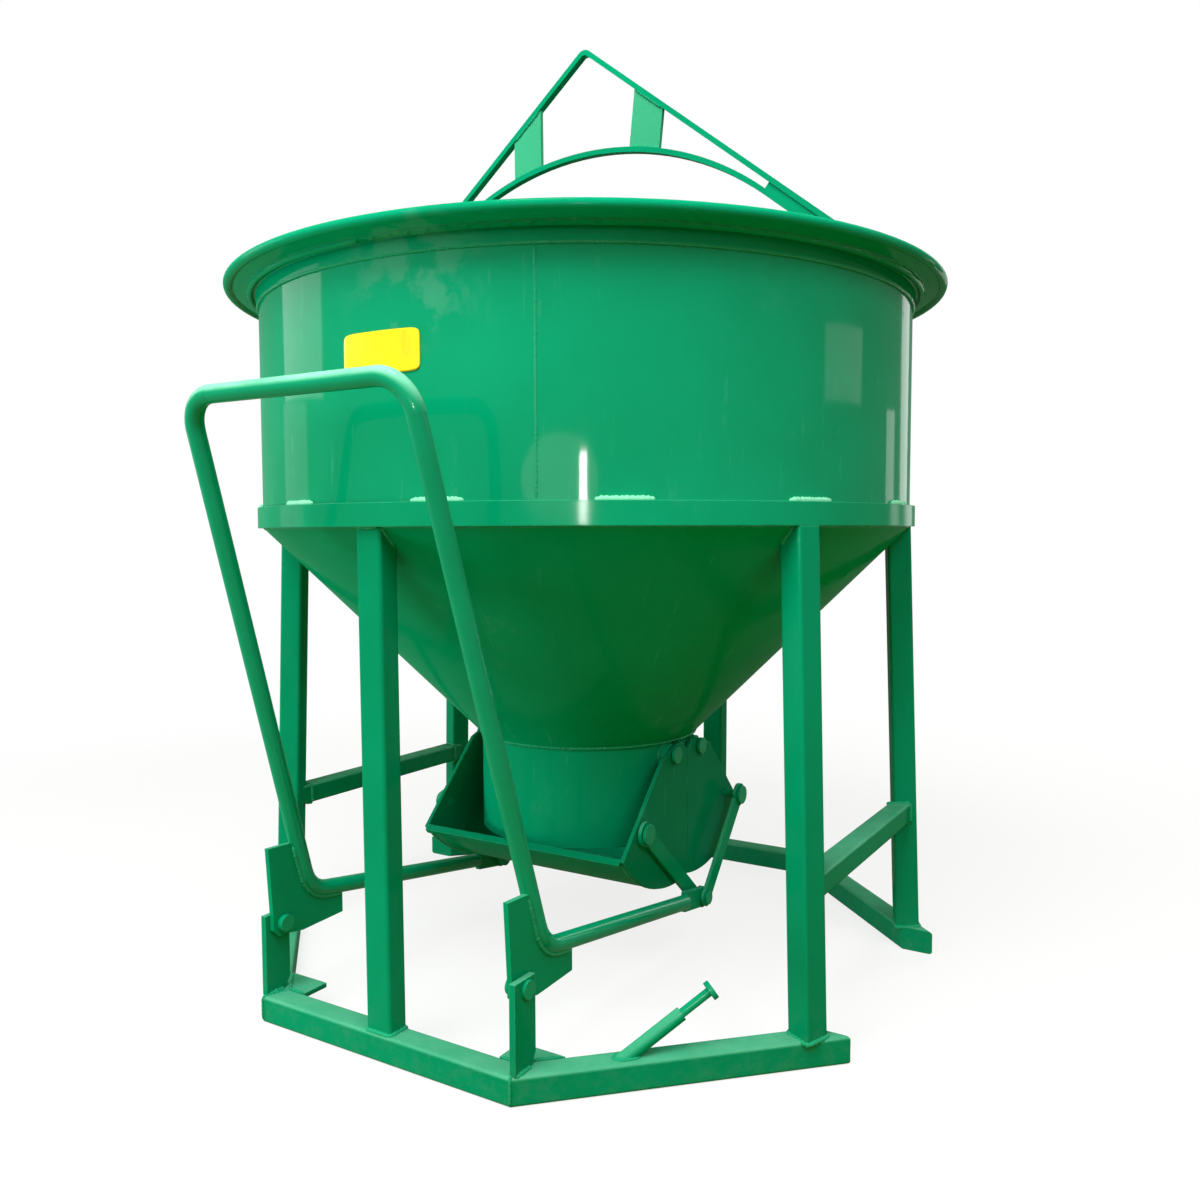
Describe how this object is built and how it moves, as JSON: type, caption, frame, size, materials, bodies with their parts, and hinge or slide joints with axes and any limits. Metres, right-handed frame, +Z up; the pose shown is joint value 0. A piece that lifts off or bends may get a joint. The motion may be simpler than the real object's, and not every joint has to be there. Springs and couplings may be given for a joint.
{
  "type": "concrete bucket",
  "caption": "Crane-lifted concrete bucket: flared open barrel over a steep cone on tube legs, clam gate worked by links from a bell-crank pull handle, fixed truss bail for the hook.",
  "frame": {"origin": "on the bucket's vertical axis, at the floor under the base frame", "axes": "+Z up along the bucket's axis, -Y towards the pull handle, +X to the right seen from the handle side"},
  "size_m": [1.5578, 1.6771, 2.0159],
  "materials": {
    "enamel": "glossy",
    "pins": "glossy"
  },
  "bodies": {
    "frame": {"barrel": "enamel", "rim": "enamel", "stiffener_band": "enamel", "hopper_cone": "enamel", "discharge_spout": "enamel", "leg_front": "enamel", "leg_front_right": "enamel", "leg_front_left": "enamel", "leg_back": "enamel", "leg_back_right": "enamel", "leg_back_left": "enamel", "base_front": "enamel", "base_front_right": "enamel", "base_front_left": "enamel", "base_back": "enamel", "base_back_right": "enamel", "base_back_left": "enamel", "brace_right": "enamel", "brace_left": "enamel", "corner_plate_right": "enamel", "corner_plate_left": "enamel", "pivot_tab_right": "enamel", "pivot_tab_left": "enamel", "handle_pin_right": "pins", "handle_pin_left": "pins", "gate_pin_front_right": "pins", "gate_pin_front_left": "pins", "gate_pin_back_right": "pins", "gate_pin_back_left": "pins", "bail_bar": "enamel", "bail_arch": "enamel", "bail_web_right": "enamel", "bail_web_left": "enamel", "bail_foot_right": "enamel", "bail_foot_left": "enamel", "rod_socket": "enamel"},
    "handle": {"handle_tube": "enamel", "handle_plate_right": "enamel", "handle_plate_left": "enamel", "arm_lug_right": "enamel", "arm_lug_left": "enamel", "arm_pin_right": "pins", "arm_pin_left": "pins"},
    "front_gate": {"front_pan": "enamel", "front_side_right": "enamel", "front_side_left": "enamel", "front_link_pin_right": "pins", "front_link_pin_left": "pins"},
    "back_gate": {"back_pan": "enamel", "back_side_right": "enamel", "back_side_left": "enamel", "back_link_pin_right": "pins", "back_link_pin_left": "pins"},
    "stop_rod": {"stop_rod": "pins"},
    "front_link_right": {"front_link_right": "enamel"},
    "front_link_left": {"front_link_left": "enamel"},
    "back_link_right": {"back_link_right": "enamel"},
    "back_link_left": {"back_link_left": "enamel"}
  },
  "joints": [
    {"name": "handle_hinge", "type": "hinge", "parent": "frame", "child": "handle", "pos_m": [0, -0.671, 0.187], "axis": [1, 0, 0], "range_deg": [0, 14]},
    {"name": "front_gate_hinge", "type": "hinge", "parent": "frame", "child": "front_gate", "pos_m": [0, -0.06, 0.463], "axis": [-1, 0, 0], "range_deg": [0, 30.8]},
    {"name": "back_gate_hinge", "type": "hinge", "parent": "frame", "child": "back_gate", "pos_m": [0, 0.06, 0.463], "axis": [1, 0, 0], "range_deg": [0, 33.4]},
    {"name": "front_link_right_pivot", "type": "hinge", "parent": "handle", "child": "front_link_right", "pos_m": [0.264, 0.025, 0.13], "axis": [1, 0, 0], "range_deg": [0, 4.7]},
    {"name": "back_link_right_pivot", "type": "hinge", "parent": "handle", "child": "back_link_right", "pos_m": [0.292, 0.025, 0.13], "axis": [-1, 0, 0], "range_deg": [0, 35.1]},
    {"name": "front_link_left_pivot", "type": "hinge", "parent": "handle", "child": "front_link_left", "pos_m": [-0.264, 0.025, 0.13], "axis": [1, 0, 0], "range_deg": [0, 4.7]},
    {"name": "back_link_left_pivot", "type": "hinge", "parent": "handle", "child": "back_link_left", "pos_m": [-0.292, 0.025, 0.13], "axis": [-1, 0, 0], "range_deg": [0, 35.1]},
    {"name": "stop_rod_slide", "type": "slide", "parent": "frame", "child": "stop_rod", "axis": [0.5896, 0.5896, 0.5519], "range_m": [-0.025, 0.025]}
  ],
  "couplings": [
    {"joint": "front_gate_hinge", "follows": "handle_hinge", "ratio": 2.1928},
    {"joint": "back_gate_hinge", "follows": "handle_hinge", "ratio": 2.3738},
    {"joint": "front_link_right_pivot", "follows": "handle_hinge", "ratio": 0.3249},
    {"joint": "back_link_right_pivot", "follows": "handle_hinge", "ratio": 2.4944},
    {"joint": "front_link_left_pivot", "follows": "handle_hinge", "ratio": 0.3249},
    {"joint": "back_link_left_pivot", "follows": "handle_hinge", "ratio": 2.4944}
  ]
}
